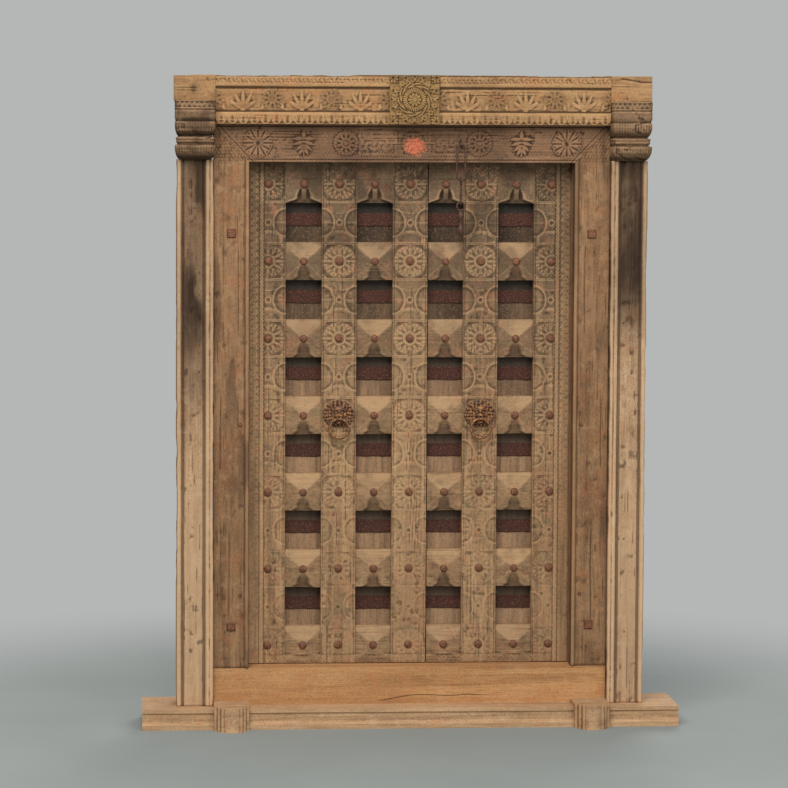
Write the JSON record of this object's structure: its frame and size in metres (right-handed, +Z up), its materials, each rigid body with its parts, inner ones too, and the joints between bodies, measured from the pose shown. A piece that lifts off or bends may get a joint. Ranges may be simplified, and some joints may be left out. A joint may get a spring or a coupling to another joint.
{
  "type": "carved temple door",
  "caption": "Carved timber double door in its frame: nailed lattice leaves that open inwards on wooden pivots, with ring pulls, a hanging chain and a carved lintel.",
  "frame": {"origin": "middle of the threshold's underside, on the floor", "axes": "+Z up along the height, +Y from the carved front to the back, +X to the right seen from the front"},
  "size_m": [1.647, 0.279, 1.991],
  "materials": {
    "lintel_wood": "weathered, bare",
    "medallion_wood": "weathered, bare",
    "head_wood": "weathered, dark",
    "jamb_wood": "weathered, bare",
    "pilaster_wood": "weathered, sooty above",
    "sill_wood": "newer, bare",
    "threshold_wood": "weathered, pale",
    "leaf_wood": "weathered, grey",
    "board_wood": "rough sawn, dark",
    "strap_iron": "rusted",
    "rust_iron": "rusted",
    "pull_brass": "tarnished"
  },
  "bodies": {
    "frame": {"threshold": "threshold_wood", "threshold_block_left": "threshold_wood", "threshold_block_right": "threshold_wood", "sill": "sill_wood", "pivot_board": "board_wood", "jamb_left": "jamb_wood", "jamb_right": "jamb_wood", "head": "head_wood", "pilaster_left": "pilaster_wood", "pilaster_right": "pilaster_wood", "capital_left": "pilaster_wood", "capital_right": "pilaster_wood", "lintel": "lintel_wood", "lintel_medallion": "medallion_wood", "frame_bolts": "rust_iron", "frame_nails": "rust_iron", "chain_staple": "rust_iron"},
    "left_leaf": {"left_hanging_stile": "leaf_wood", "left_mid_stile": "leaf_wood", "centre_post": "leaf_wood", "left_rail_1": "leaf_wood", "left_rail_2": "leaf_wood", "left_rail_3": "leaf_wood", "left_rail_4": "leaf_wood", "left_rail_5": "leaf_wood", "left_rail_6": "leaf_wood", "left_rail_7": "leaf_wood", "left_board_1": "board_wood", "left_board_2": "board_wood", "left_board_3": "board_wood", "left_board_4": "board_wood", "left_straps": "strap_iron", "left_nails": "rust_iron", "left_mask": "pull_brass"},
    "right_leaf": {"right_hanging_stile": "leaf_wood", "right_mid_stile": "leaf_wood", "right_rail_1": "leaf_wood", "right_rail_2": "leaf_wood", "right_rail_3": "leaf_wood", "right_rail_4": "leaf_wood", "right_rail_5": "leaf_wood", "right_rail_6": "leaf_wood", "right_rail_7": "leaf_wood", "right_board_1": "board_wood", "right_board_2": "board_wood", "right_board_3": "board_wood", "right_straps": "strap_iron", "right_nails": "rust_iron", "right_mask": "pull_brass"},
    "left_pull_ring": {"left_ring": "pull_brass"},
    "right_pull_ring": {"right_ring": "pull_brass"},
    "hasp": {"chain_hasp": "rust_iron"},
    "narrow_link": {"chain_link": "rust_iron"},
    "end_ring": {"chain_end": "rust_iron"}
  },
  "joints": [
    {"name": "left_leaf_hinge", "type": "hinge", "parent": "frame", "child": "left_leaf", "pos_m": [-0.528, 0.0995, 0.177], "axis": [0, 0, 1], "range_deg": [0, 95]},
    {"name": "right_leaf_hinge", "type": "hinge", "parent": "frame", "child": "right_leaf", "pos_m": [0.528, 0.0995, 0.177], "axis": [0, 0, -1], "range_deg": [0, 95]},
    {"name": "left_ring_swing", "type": "hinge", "parent": "left_leaf", "child": "left_pull_ring", "pos_m": [-0.2186, 0.0475, 0.938], "axis": [-1, 0, 0], "range_deg": [0, 100]},
    {"name": "right_ring_swing", "type": "hinge", "parent": "right_leaf", "child": "right_pull_ring", "pos_m": [0.2186, 0.0475, 0.938], "axis": [-1, 0, 0], "range_deg": [0, 100]},
    {"name": "hasp_swing", "type": "hinge", "parent": "frame", "child": "hasp", "pos_m": [0.146, -0.0175, 1.7821], "axis": [-1, 0, 0], "range_deg": [0, 75]},
    {"name": "link_swing", "type": "hinge", "parent": "hasp", "child": "narrow_link", "pos_m": [0.146, -0.0175, 1.6741], "axis": [-1, 0, 0], "range_deg": [-20, 60]},
    {"name": "end_swing", "type": "hinge", "parent": "narrow_link", "child": "end_ring", "pos_m": [0.146, -0.0175, 1.5987], "axis": [0, 1, 0], "range_deg": [-40, 40]}
  ]
}
